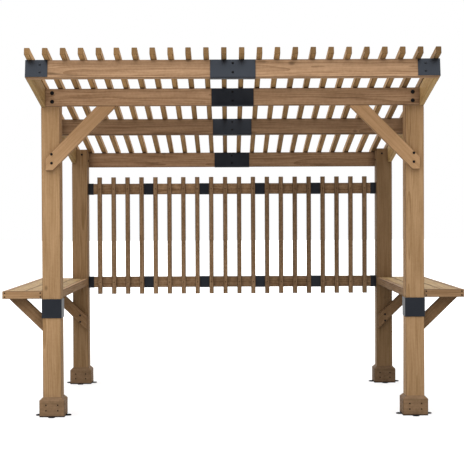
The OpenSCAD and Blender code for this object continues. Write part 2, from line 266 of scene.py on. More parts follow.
class PergolaSteel(bpy.types.PropertyGroup):
    """Sizes and colours of the steel fittings and the fixings."""

    edge: length_setting("Edge", "Radius of the fittings' cut edges", 0.8)
    bend: length_setting("Bend", "Outside radius of the fittings' bends", 7)
    grit: length_setting("Grit", "Size of the coating's texture, drawn coarse to show", 5)
    beam_washer: length_setting("Beam washer", "Diameter of the washers on the plumb beams", 30)
    brace_washer: length_setting("Brace washer", "Diameter of the washers on the knee braces", 20)
    bolt_head: length_setting("Bolt head", "Diameter of all other bolts over their washers", 17)
    screw_head: length_setting("Screw head", "Diameter of the wood screws", 12)
    thin_screw_head: length_setting("Thin screw head", "Diameter of the screws in the screen", 9)
    coat: colour_setting("Coat", "Black powder coat", "#17181c")
    worn_coat: colour_setting("Worn coat", "Powder coat rubbed along its edges", "#26282d")
    gloss: colour_setting("Gloss", "Cool tint of the powder coat's reflections", "#dfecff")
    fixing: colour_setting("Fixing", "Blackened bolts", "#08080a")
    screw: colour_setting("Screw", "Bronze-coated wood screws", "#170e08")


class PergolaStage(bpy.types.PropertyGroup):
    """Camera, floor and light."""

    focal: number_setting("Focal length", "Focal length in pixels of the picture", 1173.0, subtype="PIXEL")
    away: length_setting("Distance", "Distance from the camera to the front posts' faces", 8915)
    height: length_setting("Height", "Height of the camera above the floor", 1533.6)
    aside: length_setting("Aside", "Place of the camera along the width", -38.5, least=-5000)
    pitch: angle_setting("Pitch", "Tilt of the camera", -0.855)
    turn: angle_setting("Turn", "Turn of the camera to the side", -0.194)
    roll: angle_setting("Roll", "Turn of the camera about its own line of sight", -0.255)
    floor_size: length_setting("Floor", "Width of the floor", 120000)
    floor_colour: colour_setting("Floor colour", "Pale studio floor", "#a8a8a8")
    floor_white: number_setting("Floor white", "Extra white with which the floor meets the backdrop", 1.0)
    floor_shade: number_setting("Floor shade", "Extra white of the floor under the part", 0.55)
    backdrop: number_setting("Backdrop", "Strength of the white backdrop behind the part", 1.15)
    dome: number_setting("Dome", "Strength of the soft dome overhead", 2.05)
    lean: number_setting("Lean", "Share by which the light is brighter on the left", 0.25, subtype="FACTOR")
    room: number_setting("Room", "Strength of the dim room behind the camera", 0.05)
    key: number_setting("Key", "Power of the wide soft box at the front, in watts", 30.0, unit="POWER")


# Reading the frame

def node_solids(node):
    """Corner points of each loose solid of a CAD node.

    Equal points are merged by rounding, then the lowest point number spreads along the triangles until each
    solid holds one number.
    """
    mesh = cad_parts[node].data
    points = np.empty(3 * len(mesh.vertices))
    mesh.vertices.foreach_get("co", points)
    points, merged = np.unique(points.reshape(-1, 3).round(WELD_DIGITS), axis=0, return_inverse=True)
    corners = np.empty(len(mesh.loops), dtype=np.int32)
    mesh.loops.foreach_get("vertex_index", corners)
    triangles = merged.ravel()[corners].reshape(-1, 3)
    labels = np.arange(len(points))
    settled = False
    while not settled:
        spread = labels.copy()
        np.minimum.at(spread, triangles.ravel(), np.repeat(labels[triangles].min(axis=1), 3))
        settled = np.array_equal(spread, labels)
        labels = spread
    return [points[labels == label] for label in np.unique(labels)]


def ordered_solids(node, axis):
    """Corner points of each solid of a CAD node, in order along an axis."""
    return sorted(node_solids(node), key=lambda points: points[:, axis].mean())


def node_points(node):
    """All corner points of a CAD node."""
    return np.concatenate(node_solids(node))


def node_levels(node, axis):
    """Places along an axis at which a CAD node has corner points."""
    return np.unique(node_points(node)[:, axis].round(LEVEL_DIGITS))


def node_box(node):
    """Lowest and highest corner of a CAD node."""
    return np.array(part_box(node))


def box_corners(points):
    """Lowest and highest corner of the box round some points."""
    return points.min(axis=0), points.max(axis=0)


def extent(node, axis):
    """Lowest and highest place of a CAD node along an axis."""
    places = node_points(node) @ axis
    return places.min(), places.max()


def box_axes(points):
    """Centre, axes and sizes of a box-shaped solid, its shortest side first.

    The shortest offsets from one corner that stand square to each other are the box's edges.
    """
    spans = points - points[0]
    axes = []
    for span in spans[np.argsort(np.linalg.norm(spans, axis=1))[1:]]:
        unit = span / np.linalg.norm(span)
        if all(abs(unit @ axis) < SQUARE_COSINE for axis in axes):
            axes.append(unit * np.sign(unit[np.argmax(abs(unit))]))
    axes[0] = np.cross(axes[1], axes[2])
    axes = np.array(axes)
    local = points @ axes.T
    centre = (local.min(axis=0) + local.max(axis=0)) / 2 @ axes
    return centre, axes, np.ptp(local, axis=0)


def beam_axes(beam):
    """Axes of a cross beam: through it to the rear, up its face, and along it to the right."""
    return box_axes(node_solids(beam)[0])[1]


def outward_of(side):
    """The axis that points away from the middle on the left or right side."""
    return -X if side == "left" else X


def part_way(low, high, share):
    """Place at a share of the way from one place to another."""
    return low + share * (high - low)


def on_face(points, facing):
    """Vector along a facing, from the origin to the level of the outermost points on that side."""
    return (points @ facing).max() * facing


# Shapes

def rectangle(low, high):
    """Corners of a rectangle, counter-clockwise."""
    return np.array([low, (high[0], low[1]), high, (low[0], high[1])])


def rounded_outline(corners, radius, support):
    """Closed outline with rounded corners, its outward normals, and 1 on the corners and 0 on the flats.

    An arc's point is the arc's centre plus the radius times a normal that turns evenly from one side's normal
    to the next; in a hollow corner both signs are reversed. One plain point stands beyond each end of an arc.
    """
    corners = np.asarray(corners, dtype=float)
    radius = np.broadcast_to(radius, len(corners))
    sides = np.roll(corners, -1, axis=0) - corners
    sides /= np.linalg.norm(sides, axis=1, keepdims=True)
    leaving = np.stack([sides[:, 1], -sides[:, 0]], axis=1)
    arriving = np.roll(leaving, 1, axis=0)
    cosine = (arriving * leaving).sum(axis=1)
    turn = np.arctan2(arriving[:, 0] * leaving[:, 1] - arriving[:, 1] * leaving[:, 0], cosine)
    reach = np.sign(turn) * radius
    centres = corners - (reach / (1 + cosine))[:, None] * (arriving + leaving)
    start = np.arctan2(arriving[:, 1], arriving[:, 0])
    angles = start[:, None] + turn[:, None] * np.linspace(0, 1, ARC_STEPS + 1)
    arc_normals = np.stack([np.cos(angles), np.sin(angles)], axis=2)
    arcs = centres[:, None] + reach[:, None, None] * arc_normals
    back = (radius * np.tan(abs(turn) / 2) + support)[:, None]
    before = corners - back * np.roll(sides, 1, axis=0)
    after = corners + back * sides
    points = np.concatenate([before[:, None], arcs, after[:, None]], axis=1)
    normals = np.concatenate([arriving[:, None], arc_normals, leaving[:, None]], axis=1)
    wear_and_bevel_shade = np.tile(np.pad(np.ones(ARC_STEPS + 1), 1), len(corners))
    return points.reshape(-1, 2), normals.reshape(-1, 2), wear_and_bevel_shade


def ring_quads(rings, points, closed=False):
    """Faces between rings of points, each ring closed on itself."""
    ring, point = np.meshgrid(np.arange(rings if closed else rings - 1), np.arange(points), indexing="ij")
    above = (ring + 1) % rings
    beside = (point + 1) % points
    quads = [ring * points + point, ring * points + beside, above * points + beside, above * points + point]
    return np.stack(quads, axis=2).reshape(-1, 4)


def raised(flat, height):
    """Rows of flat points or normals with a third coordinate that is the same all along each row."""
    return np.concatenate([flat, np.broadcast_to(height, flat.shape[:2] + (1,))], axis=2).reshape(-1, 3)


def eased_prism(outline, axes, origin, length, radius, far_outline=None):
    """Outline carried along the third axis, from its near to its far form, with rounded arrises.

    A ring is the outline drawn in along its normals by e at a height w. Both run round a quarter circle at
    each end, e = r (1 - sin t) and w = r (1 - cos t), and the near and far forms mix evenly with the height.
    """
    far_outline = outline if far_outline is None else far_outline
    ease = END_SHARE * np.min(radius)
    support = PLAIN_SHARE * np.min(radius)
    near, normals, wear_and_bevel_shade = rounded_outline(outline, radius, support)
    far, far_normals, _ = rounded_outline(far_outline, radius, support)
    turn = np.linspace(0, np.pi / 2, ARC_STEPS + 1)
    inset = np.concatenate([[ease + support], ease * (1 - np.sin(turn)), [0.0]])
    rise = np.concatenate([[0.0], ease * (1 - np.cos(turn)), [ease + support]])
    outward = np.concatenate([[0.0], np.sin(turn), [1.0]])
    endways = np.sqrt(1 - outward ** 2)
    arris = np.pad(np.ones(ARC_STEPS + 1), 1)
    past_cap = np.pad(np.ones(ARC_STEPS + 2), (1, 0))
    ring_worn = np.maximum(arris[:, None], past_cap[:, None] * wear_and_bevel_shade)

    inset = np.concatenate([inset, inset[::-1]])[:, None, None]
    height = np.concatenate([rise, length - rise[::-1]])[:, None, None]
    outward = np.concatenate([outward, outward[::-1]])[:, None, None]
    endways = np.concatenate([-endways, endways[::-1]])[:, None, None]
    share = height / length
    facing = (1 - share) * normals + share * far_normals
    flat = (1 - share) * near + share * far - inset * facing
    rings, count = flat.shape[:2]
    caps = [list(range(count))[::-1], list(range((rings - 1) * count, rings * count))]
    return {
        "points": raised(flat, height) @ axes + origin,
        "normals": raised(facing * outward, endways) @ axes,
        "wear_and_bevel_shade": np.concatenate([ring_worn, ring_worn[::-1]]).ravel(),
        "faces": ring_quads(rings, count).tolist() + caps,
    }


def upright_tube(low, high, bend, wall, edge):
    """Tube round a box: its wall's section, with rounded edges, is carried round the box's rounded plan."""
    plan, normals, _ = rounded_outline(rectangle(low[:2], high[:2]), bend, wall)
    section, _, wear_and_bevel_shade = rounded_outline(rectangle((0.0, 0.0), (wall, high[2] - low[2])), edge, edge / 2)
    section = section[::-1]
    flat = plan[None] - section[:, :1, None] * normals[None]
    return {
        "points": raised(flat, section[:, 1, None, None]) + low[2] * Z,
        "wear_and_bevel_shade": np.repeat(wear_and_bevel_shade[::-1], len(plan)),
        "faces": ring_quads(len(section), len(plan), closed=True).tolist(),
    }


def turned_heads(spots, rows, sides):
    """Bolt or screw heads: rows of a radius, a height and a shape, turned round the facing of each spot.

    A row's point is the spot + r f(a) (cos a, sin a) + h along the facing. Round rows have f = 1, and rows
    of a hexagon head have f(a) = cos 30 / cos(a mod 60 - 30) in degrees.
    """
    places, facings = (np.array(column) for column in zip(*spots))
    radii, heights, hexagon = (np.array(column)[:, None] for column in zip(*rows))
    angle = np.arange(sides) * 2 * np.pi / sides
    sixth = np.pi / 3
    flats = np.cos(sixth / 2) / np.cos(angle % sixth - sixth / 2)
    radius = radii * np.where(hexagon, flats, 1.0)
    round_facing = np.stack([radius * np.cos(angle), radius * np.sin(angle)], axis=2)
    head = raised(round_facing, heights[:, :, None])
    helper = np.where(abs(facings[:, 2:]) > UPRIGHT_COSINE, X, Z)
    first = np.cross(helper, facings)
    first /= np.linalg.norm(first, axis=1, keepdims=True)
    turned = np.stack([first, np.cross(facings, first), facings], axis=1)
    points = np.einsum("pk,nkc->npc", head, turned) + places[:, None]
    caps = np.array([np.arange(sides)[::-1], (len(rows) - 1) * sides + np.arange(sides)])
    quads = ring_quads(len(rows), sides)
    starts = np.arange(len(places))[:, None, None] * len(head)
    return {
        "points": points.reshape(-1, 3),
        "wear_and_bevel_shade": np.zeros(len(places) * len(head)),
        "faces": (quads + starts).reshape(-1, 4).tolist() + (caps + starts).reshape(-1, sides).tolist(),
    }


class Piece:
    """A finished piece, gathered from shells that share one mesh."""

    def __init__(self, name):
        self.name = name
        self.shells = []
        self.tone = next((tone for word, tone in PIECE_TONES_AND_SHADE.items() if word in name), 1.0)
        self.draw = np.random.default_rng(list(name.encode()))

    def add_timber(self, shell, axes, centre, pith, spread=None, tone=1.0, fade=0.0):
        """Adds a board with its own run of grain.

        The grain attribute is the place along, through and across the board, measured from a pith that lies
        off the board's centre, and shifted along so that no two boards share a figure. The stain is painted
        paler by the given share at the board's top than at its middle, and deeper by as much at its foot:
        painted light and shade down the board.
        """
        axes = np.asarray(axes)
        spread = bpy.context.scene.pergola_timber.tone_spread if spread is None else spread
        local = (shell["points"] - centre) @ axes.T
        shift = np.array([*pith, FIGURE_RUN * self.draw.random()])
        shift[:2] *= self.draw.choice([-1, 1], 2)
        shell["grain"] = (local + shift)[:, [2, 0, 1]]
        along_grain = abs(shell["normals"] @ axes[2])
        ends = np.clip((along_grain - END_GRAIN_COSINE) / (1 - END_GRAIN_COSINE), 0, 1)
        heights = shell["points"][:, 2]
        middle = (heights.min() + heights.max()) / 2
        rise = (heights - middle) / (heights.max() - middle)
        # Painted light and shade go into the stain here: the piece's tone, the tone passed in, and the share
        # down the board
        stain = self.tone * tone * (1 + fade * rise) + spread * self.draw.uniform(-1, 1)
        shell["marks"] = np.stack([stain, shell["wear_and_bevel_shade"], ends], axis=1)
        self.shells.append(shell)

    def add_board(self, points, ease, **stain):
        """Adds a straight board in the place of a box-shaped solid."""
        centre, axes, sizes = box_axes(points)
        half = sizes / 2
        outline = rectangle(-half[:2], half[:2])
        shell = eased_prism(outline, axes, centre - half[2] * axes[2], sizes[2], ease)
        pith = [self.draw.uniform(*reach) * sizes[1] for reach in (PITH_THROUGH, PITH_ACROSS)]
        self.add_timber(shell, axes, centre, pith, **stain)

    def add_brace(self, points, ease, **stain):
        """Adds a brace cut from a board that faces the front, with its grain along its longest edge."""
        rear = points[:, 1].max()
        flat = np.unique(points[points[:, 1] > rear - MM][:, [0, 2]], axis=0)
        spokes = flat - flat.mean(axis=0)
        outline = flat[np.argsort(np.arctan2(spokes[:, 1], spokes[:, 0]))]
        shell = eased_prism(outline, FRONT_AXES, rear * Y, np.ptp(points[:, 1]), ease)
        edges = np.roll(outline, -1, axis=0) - outline
        along = edges[np.argmax(np.linalg.norm(edges, axis=1))]
        along = np.array([along[0], 0, along[1]]) / np.linalg.norm(along)
        axes = np.array([Y, np.cross(along, Y), along])
        self.add_timber(shell, axes, points.mean(axis=0), self.draw.uniform(*BRACE_PITH, 2), **stain)

    def add_steel(self, shell):
        """Adds a fitting or a row of heads."""
        shell["grain"] = shell["points"]
        shell["marks"] = np.stack([np.ones_like(shell["wear_and_bevel_shade"]), shell["wear_and_bevel_shade"], 0 * shell["wear_and_bevel_shade"]], axis=1)
        self.shells.append(shell)

    def finish(self, material, slot, *nodes):
        """Makes the mesh, rides it on the frame and hides the nodes that it stands for; the slot is not used.
        """
        starts = np.cumsum([0] + [len(shell["points"]) for shell in self.shells])
        points = np.concatenate([shell["points"] for shell in self.shells])
        faces = [
            [index + start for index in face]
            for shell, start in zip(self.shells, starts)
            for face in shell["faces"]]
        mesh = bpy.data.meshes.new(self.name)
        mesh.from_pydata(points, [], faces)
        mesh.polygons.foreach_set("use_smooth", np.ones(len(faces), dtype=bool))
        for title in ("grain", "marks"):
            values = np.concatenate([shell[title] for shell in self.shells])
            layer = mesh.attributes.new(title, "FLOAT_VECTOR", "POINT")
            layer.data.foreach_set("vector", values.ravel())
        mesh.materials.append(material)
        mesh.update()
        piece = bpy.data.objects.new(self.name, mesh)
        bpy.context.scene.collection.objects.link(piece)
        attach(piece, "root")
        if nodes:
            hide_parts(*nodes)

    def finish_timber(self, slot, *nodes, finish=None):
        """Finishes the piece with the timber of its slot, or with a finish of its own in that slot."""
        name, stain, *treatment = TIMBER_FINISHES[finish or slot]
        timber = bpy.context.scene.pergola_timber
        pale, deep = getattr(timber, f"{stain}_pale"), getattr(timber, f"{stain}_deep")
        self.finish(stained_softwood(name, pale, deep, *treatment), slot, *nodes)

    def finish_steel(self, *nodes, coat=BLACK_COAT):
        """Finishes the piece as a folded fitting."""
        self.finish(powder_coated_steel(coat), "black_steel", *nodes)


# Finishes

def add(tree, kind, inputs=(), output=None, **settings):
    """Adds a shader node with its settings, and links or sets its inputs, given by name or in order.

    It gives the output that is named, or else the first one in use, or None where the node has no output.
    """
    node = tree.nodes.new(f"ShaderNode{kind}")
    for title, value in settings.items():
        setattr(node, title, value)
    pairs = inputs.items() if isinstance(inputs, dict) else enumerate(inputs)
    for socket, value in pairs:
        if isinstance(value, bpy.types.NodeSocket):
            tree.links.new(value, node.inputs[socket])
        else:
            node.inputs[socket].default_value = value
    if output:
        return node.outputs[output]
    return next((socket for socket in node.outputs if socket.enabled), None)


def new_finish(name):
    """An empty node material and its tree."""
    material = bpy.data.materials.new(name)
    material.use_nodes = True
    material.node_tree.nodes.clear()
    return material, material.node_tree


def rgba(colour, share=1.0):
    """A colour, or a share of its brightness, with full opacity."""
    return (*(share * part for part in colour), 1.0)


def figure(length, width):
    """Scale of a pattern whose figures have a length along the grain and a width across it, in metres."""
    return (1 / length, 1 / width, 1 / width)


def stained_softwood(name, pale, deep, mottle, joint_shade, soak):
    """Planed softwood under a brown translucent stain.

    The eye sees growth rings as long arches and lines, fine fibre streaks, drifts of paler and deeper stain,
    a few knots and drying checks, dark end grain, dark arrises where the stain gathered, and painted shade in
    the joints.
    Boards left rougher from the saw are mottled too.
    """
    if name in bpy.data.materials:
        return bpy.data.materials[name]
    timber = bpy.context.scene.pergola_timber
    material, tree = new_finish(name)
    grain = add(tree, "Attribute", output="Vector", attribute_name="grain")
    marks = add(tree, "Attribute", output="Vector", attribute_name="marks")
    tone, wear_and_bevel_shade, ends = add(tree, "SeparateXYZ", (marks,)).node.outputs

    # Drift of the grain: the rings wander about 15 mm over a metre of length
    way = add(tree, "VectorMath", (grain, figure(900 * MM, 160 * MM)), operation="MULTIPLY")
    drift = add(tree, "TexNoise", {"Vector": way, "Scale": 1.0, "Detail": 2.0}, "Color")
    bent = add(tree, "VectorMath", (drift, (0, 30 * MM, 30 * MM), grain), operation="MULTIPLY_ADD")

    # Growth rings round the pith
    cross = add(tree, "VectorMath", (bent, (0, 1, 1)), operation="MULTIPLY")
    from_pith = add(tree, "VectorMath", (cross,), operation="LENGTH")
    rings = add(tree, "Math", (from_pith, 1 / timber.ring_spacing), operation="MULTIPLY")
    ring = add(tree, "Math", (rings,), operation="FRACT")
    latewood = add(tree, "Math", (ring, RING_POWER), operation="POWER")

    # Fibre streaks, and broader bands of stain, both many times longer than wide
    way = add(tree, "VectorMath", (bent, figure(250 * MM, timber.fibre_width)), operation="MULTIPLY")
    fibre = add(tree, "TexNoise", {"Vector": way, "Scale": 1.0, "Detail": 3.0})
    way = add(tree, "VectorMath", (bent, figure(450 * MM, 35 * MM)), operation="MULTIPLY")
    band = add(tree, "TexNoise", {"Vector": way, "Scale": 1.0, "Detail": 2.0})

    # Mottle in spots of 20 mm, lighter and darker by turns
    cloud = add(tree, "TexNoise", {"Vector": grain, "Scale": 1 / (20 * MM), "Detail": 3.0})
    cloud = add(tree, "Math", (cloud, 0.5), operation="SUBTRACT")

    # Depth of the stain: the sum of these, each with its weight
    depth = 0.0
    for layer, weight in (
            (latewood, RING_WEIGHT), (fibre, FIBRE_WEIGHT), (band, BAND_WEIGHT), (cloud, mottle)):
        depth = add(tree, "Math", (layer, weight, depth), operation="MULTIPLY_ADD")
    depth = add(tree, "MapRange", {"Value": depth, "From Min": STAIN_RANGE[0], "From Max": STAIN_RANGE[1]})

    # Knots of about 25 mm with a soft rim, a few to a post, as shares of their distance from each other
    way = add(tree, "VectorMath", (bent, figure(360 * MM, 240 * MM)), operation="MULTIPLY")
    near_knot = add(tree, "TexVoronoi", {"Vector": way, "Scale": 1.0}, "Distance")
    knot = add(tree, "MapRange", {
        "Value": near_knot, "From Min": 0.03, "From Max": 0.08, "To Min": 1.0, "To Max": 0.0})

    # Drying checks: hair cracks along the grain, drawn 2 mm wide to show, only where the stain is deep
    way = add(tree, "VectorMath", (grain, figure(3000 * MM, 50 * MM)), operation="MULTIPLY")
    field = add(tree, "TexNoise", {"Vector": way, "Scale": 1.0, "Detail": 0.0})
    off_line = add(tree, "Math", (field, 0.5), operation="SUBTRACT")
    off_line = add(tree, "Math", (off_line,), operation="ABSOLUTE")
    hair = add(tree, "MapRange", {
        "Value": off_line, "From Min": 0.004, "From Max": 0.014, "To Min": 1.0, "To Max": 0.0})
    prone = add(tree, "MapRange", {"Value": band, "From Min": 0.58, "From Max": 0.68})
    check = add(tree, "Math", (hair, prone), operation="MULTIPLY")
    flaw = add(tree, "Math", (knot, check), operation="MAXIMUM")
    flaw = add(tree, "Math", (flaw, FLAW_STRENGTH), operation="MULTIPLY")

    # Arrises where the stain gathers, more where the fibres are coarse, painted shade on the foot boards'
    # bevels, and painted shade in the joints where other surfaces lie near
    plain, streaked = (soak * part for part in ARRIS_STAIN)
    soaked = add(tree, "Math", (fibre, streaked, plain), operation="MULTIPLY_ADD")
    arris = add(tree, "Math", (wear_and_bevel_shade, soaked), operation="MULTIPLY")
    clear = add(tree, "AmbientOcclusion", {"Distance": timber.grime_reach}, "AO", samples=JOINT_RAYS)
    joint = add(tree, "Math", (clear, -joint_shade, joint_shade), operation="MULTIPLY_ADD")
    # Painted shade: the joint darkening joins the arris stain here
    gathered = add(tree, "Math", (arris, joint), operation="MAXIMUM")
    end_grain = add(tree, "Math", (ends, END_GRAIN_STRENGTH), operation="MULTIPLY")

    # Stain, flaws, gathered stain with the painted shade, and end grain one over the other, in the board's
    # own tone, which holds painted light and shade too
    dark = rgba(deep, DEEP_STAIN_AND_SHADE)
    colour = rgba(pale)
    for cover, shade in (
            (depth, rgba(deep)), (flaw, dark), (gathered, dark), (end_grain, rgba(deep, END_GRAIN_SHADE))):
        colour = add(tree, "Mix", {"Factor": cover, "A": colour, "B": shade}, data_type="RGBA")
    colour = add(tree, "HueSaturation", {"Value": tone, "Color": colour})

    # Satin between rougher fibres, with the checks as hollows
    rough = add(tree, "MapRange", {
        "Value": fibre, "From Min": 0.3, "From Max": 0.7, "To Min": 0.5, "To Max": 0.72})
    hollow = add(tree, "Math", (check, -CHECK_DEPTH, fibre), operation="MULTIPLY_ADD")
    relief = add(tree, "Bump", {"Height": hollow, "Strength": 0.35, "Distance": 0.6 * MM})
    surface = add(tree, "BsdfPrincipled", {
        "Base Color": colour, "Roughness": rough, "Normal": relief, "IOR": 1.45, "Specular IOR Level": 0.12})
    add(tree, "OutputMaterial", {"Surface": surface})
    return material


def powder_coated_steel(name):
    """Folded steel under a black powder coat.

    The eye sees a dry, even black with a fine pebbled texture, dull cool reflections, and paler rubbed edges.
    The middle beam's saddle takes a copy of the coat that reflects less, as painted shade under the roof, and
    the plates on the ground are scoured rough.
    """
    if name in bpy.data.materials:
        return bpy.data.materials[name]
    steel = bpy.context.scene.pergola_steel
    smoothest, roughest, level = COATS[name]
    material, tree = new_finish(name)
    place = add(tree, "TexCoord", output="Object")
    marks = add(tree, "Attribute", output="Vector", attribute_name="marks")
    wear_and_bevel_shade = add(tree, "SeparateXYZ", (marks,), "Y")

    # Pebbled texture of the coat, and drifts of dust about 120 mm across
    pebble = add(tree, "TexNoise", {"Vector": place, "Scale": 1 / steel.grit, "Detail": 2.0})
    cloud = add(tree, "TexNoise", {"Vector": place, "Scale": 1 / (120 * MM), "Detail": 3.0})

    # The paler coat shows on rubbed edges and, faintly, under the dust
    rubbed = add(tree, "Math", (wear_and_bevel_shade, cloud), operation="MULTIPLY")
    dusty = add(tree, "MapRange", {"Value": cloud, "From Min": 0.4, "From Max": 0.75, "To Max": 0.25})
    shown = add(tree, "Math", (rubbed, dusty), operation="MAXIMUM")
    colour = add(tree, "Mix", {
        "Factor": shown, "A": rgba(steel.coat), "B": rgba(steel.worn_coat)}, data_type="RGBA")

    # Duller under the dust, with the pebbles as relief
    rough = add(tree, "MapRange", {
        "Value": cloud, "From Min": 0.3, "From Max": 0.7, "To Min": smoothest, "To Max": roughest})
    relief = add(tree, "Bump", {"Height": pebble, "Strength": 0.25, "Distance": 0.4 * MM})
    surface = add(tree, "BsdfPrincipled", {
        "Base Color": colour, "Roughness": rough, "Normal": relief, "Specular IOR Level": level,
        "Specular Tint": rgba(steel.gloss)})
    add(tree, "OutputMaterial", {"Surface": surface})
    return material


def coated_fixings(name, shade):
    """Steel bolts with a black oxide finish or screws with a bronze one: dark, with a slightly oily sheen."""
    material, tree = new_finish(name)
    place = add(tree, "TexCoord", output="Object")

    # Rubbed and dulled in spots of about 10 mm
    cloud = add(tree, "TexNoise", {"Vector": place, "Scale": 1 / (10 * MM), "Detail": 2.0})
    colour = add(tree, "Mix", {
        "Factor": cloud, "A": rgba(shade), "B": rgba(shade, RUBBED_SHADE)}, data_type="RGBA")
    rough = add(tree, "MapRange", {"Value": cloud, "To Min": 0.35, "To Max": 0.6})
    surface = add(tree, "BsdfPrincipled", {
        "Base Color": colour, "Roughness": rough, "Specular IOR Level": 0.15})
    add(tree, "OutputMaterial", {"Surface": surface})
    return material


# Operators

class PERGOLA_OT_stage(bpy.types.Operator):
    """Camera, pale floor and soft studio light"""

    bl_idname = "pergola.stage"
    bl_label = "Stage"

    def execute(self, context):
        stage = context.scene.pergola_stage
        self.place_camera(context.scene, stage)
        self.make_floor(context.scene, stage)
        self.make_light(context.scene, stage)
        context.scene.view_settings.view_transform = "Standard"
        return {"FINISHED"}

    def place_camera(self, scene, stage):
        """Camera at the photo's angle."""
        lens = bpy.data.cameras.new("camera")
        lens.sensor_fit = "HORIZONTAL"
        lens.sensor_width = SENSOR_MM
        lens.lens = stage.focal / PICTURE_PX * SENSOR_MM
        lens.clip_end = 2 * stage.floor_size
        camera = bpy.data.objects.new("camera", lens)
        front = node_box("front_left_post_lower")[0, 1]
        camera.location = (stage.aside, front - stage.away, stage.height)
        level = Euler((np.pi / 2 + stage.pitch, 0, stage.turn)).to_matrix()
        camera.rotation_euler = (level @ Matrix.Rotation(stage.roll, 3, "Z")).to_euler()
        scene.collection.objects.link(camera)
        scene.camera = camera

    def make_floor(self, scene, stage):
        """Level square at the foot of the part, in matt paint that goes over to the backdrop's white."""
        half = stage.floor_size / 2
        square = rectangle((-half, -half), (half, half))
        mesh = bpy.data.meshes.new("studio_floor")
        mesh.from_pydata(np.column_stack([square, np.full(len(square), CAD_LOW.z)]), [], [[0, 1, 2, 3]])
        material, tree = new_finish("matt studio paint")
        seen = add(tree, "LightPath", output="Is Camera Ray")
        place = add(tree, "TexCoord", output="Object")
        away = add(tree, "VectorMath", (place,), operation="LENGTH")
        white = add(tree, "MapRange", {
            "Value": away, "From Min": FLOOR_FADE[0], "From Max": FLOOR_FADE[1],
            "To Min": stage.floor_shade, "To Max": stage.floor_white}, interpolation_type="SMOOTHSTEP")
        white = add(tree, "Math", (seen, white), operation="MULTIPLY")
        surface = add(tree, "BsdfPrincipled", {
            "Base Color": rgba(stage.floor_colour), "Roughness": 0.9, "Specular IOR Level": 0.1,
            "Emission Color": WHITE, "Emission Strength": white})
        add(tree, "OutputMaterial", {"Surface": surface})
        mesh.materials.append(material)
        floor = bpy.data.objects.new("studio_floor", mesh)
        scene.collection.objects.link(floor)

    def make_light(self, scene, stage):
        """Soft dome over the part, white backdrop behind it, dim room in front, and one soft box."""
        world = bpy.data.worlds.new("studio")
        world.use_nodes = True
        tree = world.node_tree
        tree.nodes.clear()

        # Light on the part: the brighter of dome and backdrop, stronger from the left
        way = add(tree, "TexCoord", output="Generated")
        way = add(tree, "SeparateXYZ", (way,)).node.outputs
        overhead = add(tree, "MapRange", {
            "Value": way["Z"], "From Min": DOME_EDGE[0], "From Max": DOME_EDGE[1],
            "To Min": stage.room, "To Max": stage.dome}, interpolation_type="SMOOTHSTEP")
        behind = add(tree, "MapRange", {
            "Value": way["Y"], "From Min": BACKDROP_EDGE[0], "From Max": BACKDROP_EDGE[1],
            "To Max": stage.backdrop}, interpolation_type="SMOOTHSTEP")
        side = add(tree, "Math", (way["X"], -stage.lean, 1.0), operation="MULTIPLY_ADD")
        strength = add(tree, "Math", (overhead, behind), operation="MAXIMUM")
        strength = add(tree, "Math", (strength, side), operation="MULTIPLY")

        # What the camera sees behind the part is plain white
        cast = add(tree, "Background", {"Color": WHITE, "Strength": strength})
        seen = add(tree, "Background", {"Color": WHITE, "Strength": 1.0})
        path = add(tree, "LightPath", output="Is Camera Ray")
        add(tree, "OutputWorld", {"Surface": add(tree, "MixShader", (path, cast, seen))})
        scene.world = world

        # Soft box that no camera and no reflection shows
        light = bpy.data.lights.new("key", "AREA")
        light.shape = "RECTANGLE"
        light.size, light.size_y = KEY_SIZE
        light.energy = stage.key
        soft_box = bpy.data.objects.new("key", light)
        soft_box.location = KEY_PLACE
        soft_box.rotation_euler = (KEY_TARGET - KEY_PLACE).to_track_quat("-Z", "Y").to_euler()
        soft_box.visible_camera = False
        soft_box.visible_glossy = False
        scene.collection.objects.link(soft_box)


class PERGOLA_OT_posts(bpy.types.Operator):
    """Front posts in two lengths and rear posts in one, let in at the top for the side beams"""

    bl_idname = "pergola.posts"
    bl_label = "Posts"

    def execute(self, context):
        ease = context.scene.pergola_timber.arris
        nodes = [f"front_{side}_post_{length}" for side in SIDES for length in ("lower", "upper")]
        for node in nodes + [f"back_{side}_post" for side in SIDES]:
            piece = Piece(f"dressed_{node}")
            points = node_points(node)
            low, high = box_corners(points)
            if node.endswith("lower"):
                near = far = rectangle(low[[0, 2]], high[[0, 2]])
            else:
                near, far = (self.let_in_outline(points, y) for y in (high[1], low[1]))
            shell = eased_prism(near, FRONT_AXES, high[1] * Y, high[1] - low[1], ease, far)
            # Painted light: each front post length is painted paler at the top and deeper at the foot
            fade = POST_PAINTED_LIGHT if node.startswith("front") else 0.0
            pith = piece.draw.uniform(*POST_PITH, 2)
            piece.add_timber(shell, (X, Y, Z), (low + high) / 2, pith, fade=fade)
            piece.finish_timber("post_timber", node)
        return {"FINISHED"}

    def let_in_outline(self, points, y):
        """Outline of a post on its front or rear face: square shaft, seat for the beam and inner tongue."""
        face = points[abs(points[:, 1] - y) < MM]
        left, right = face[:, 0].min(), face[:, 0].max()
        foot, top = face[:, 2].min(), face[:, 2].max()
        outer = left if abs(left) > abs(right) else right
        inner = left + right - outer
        seat = face[abs(face[:, 0] - outer) < MM][:, 2].max()
        shoulders = face[(face[:, 2] > seat - MM) & (abs(face[:, 0] - outer) > MM)]
        step = shoulders[np.argmin(abs(shoulders[:, 0] - outer)), 0]
        outline = np.array([
            (inner, foot), (outer, foot), (outer, seat), (step, seat), (step, top), (inner, top)])
        return outline if outer > inner else outline[::-1]


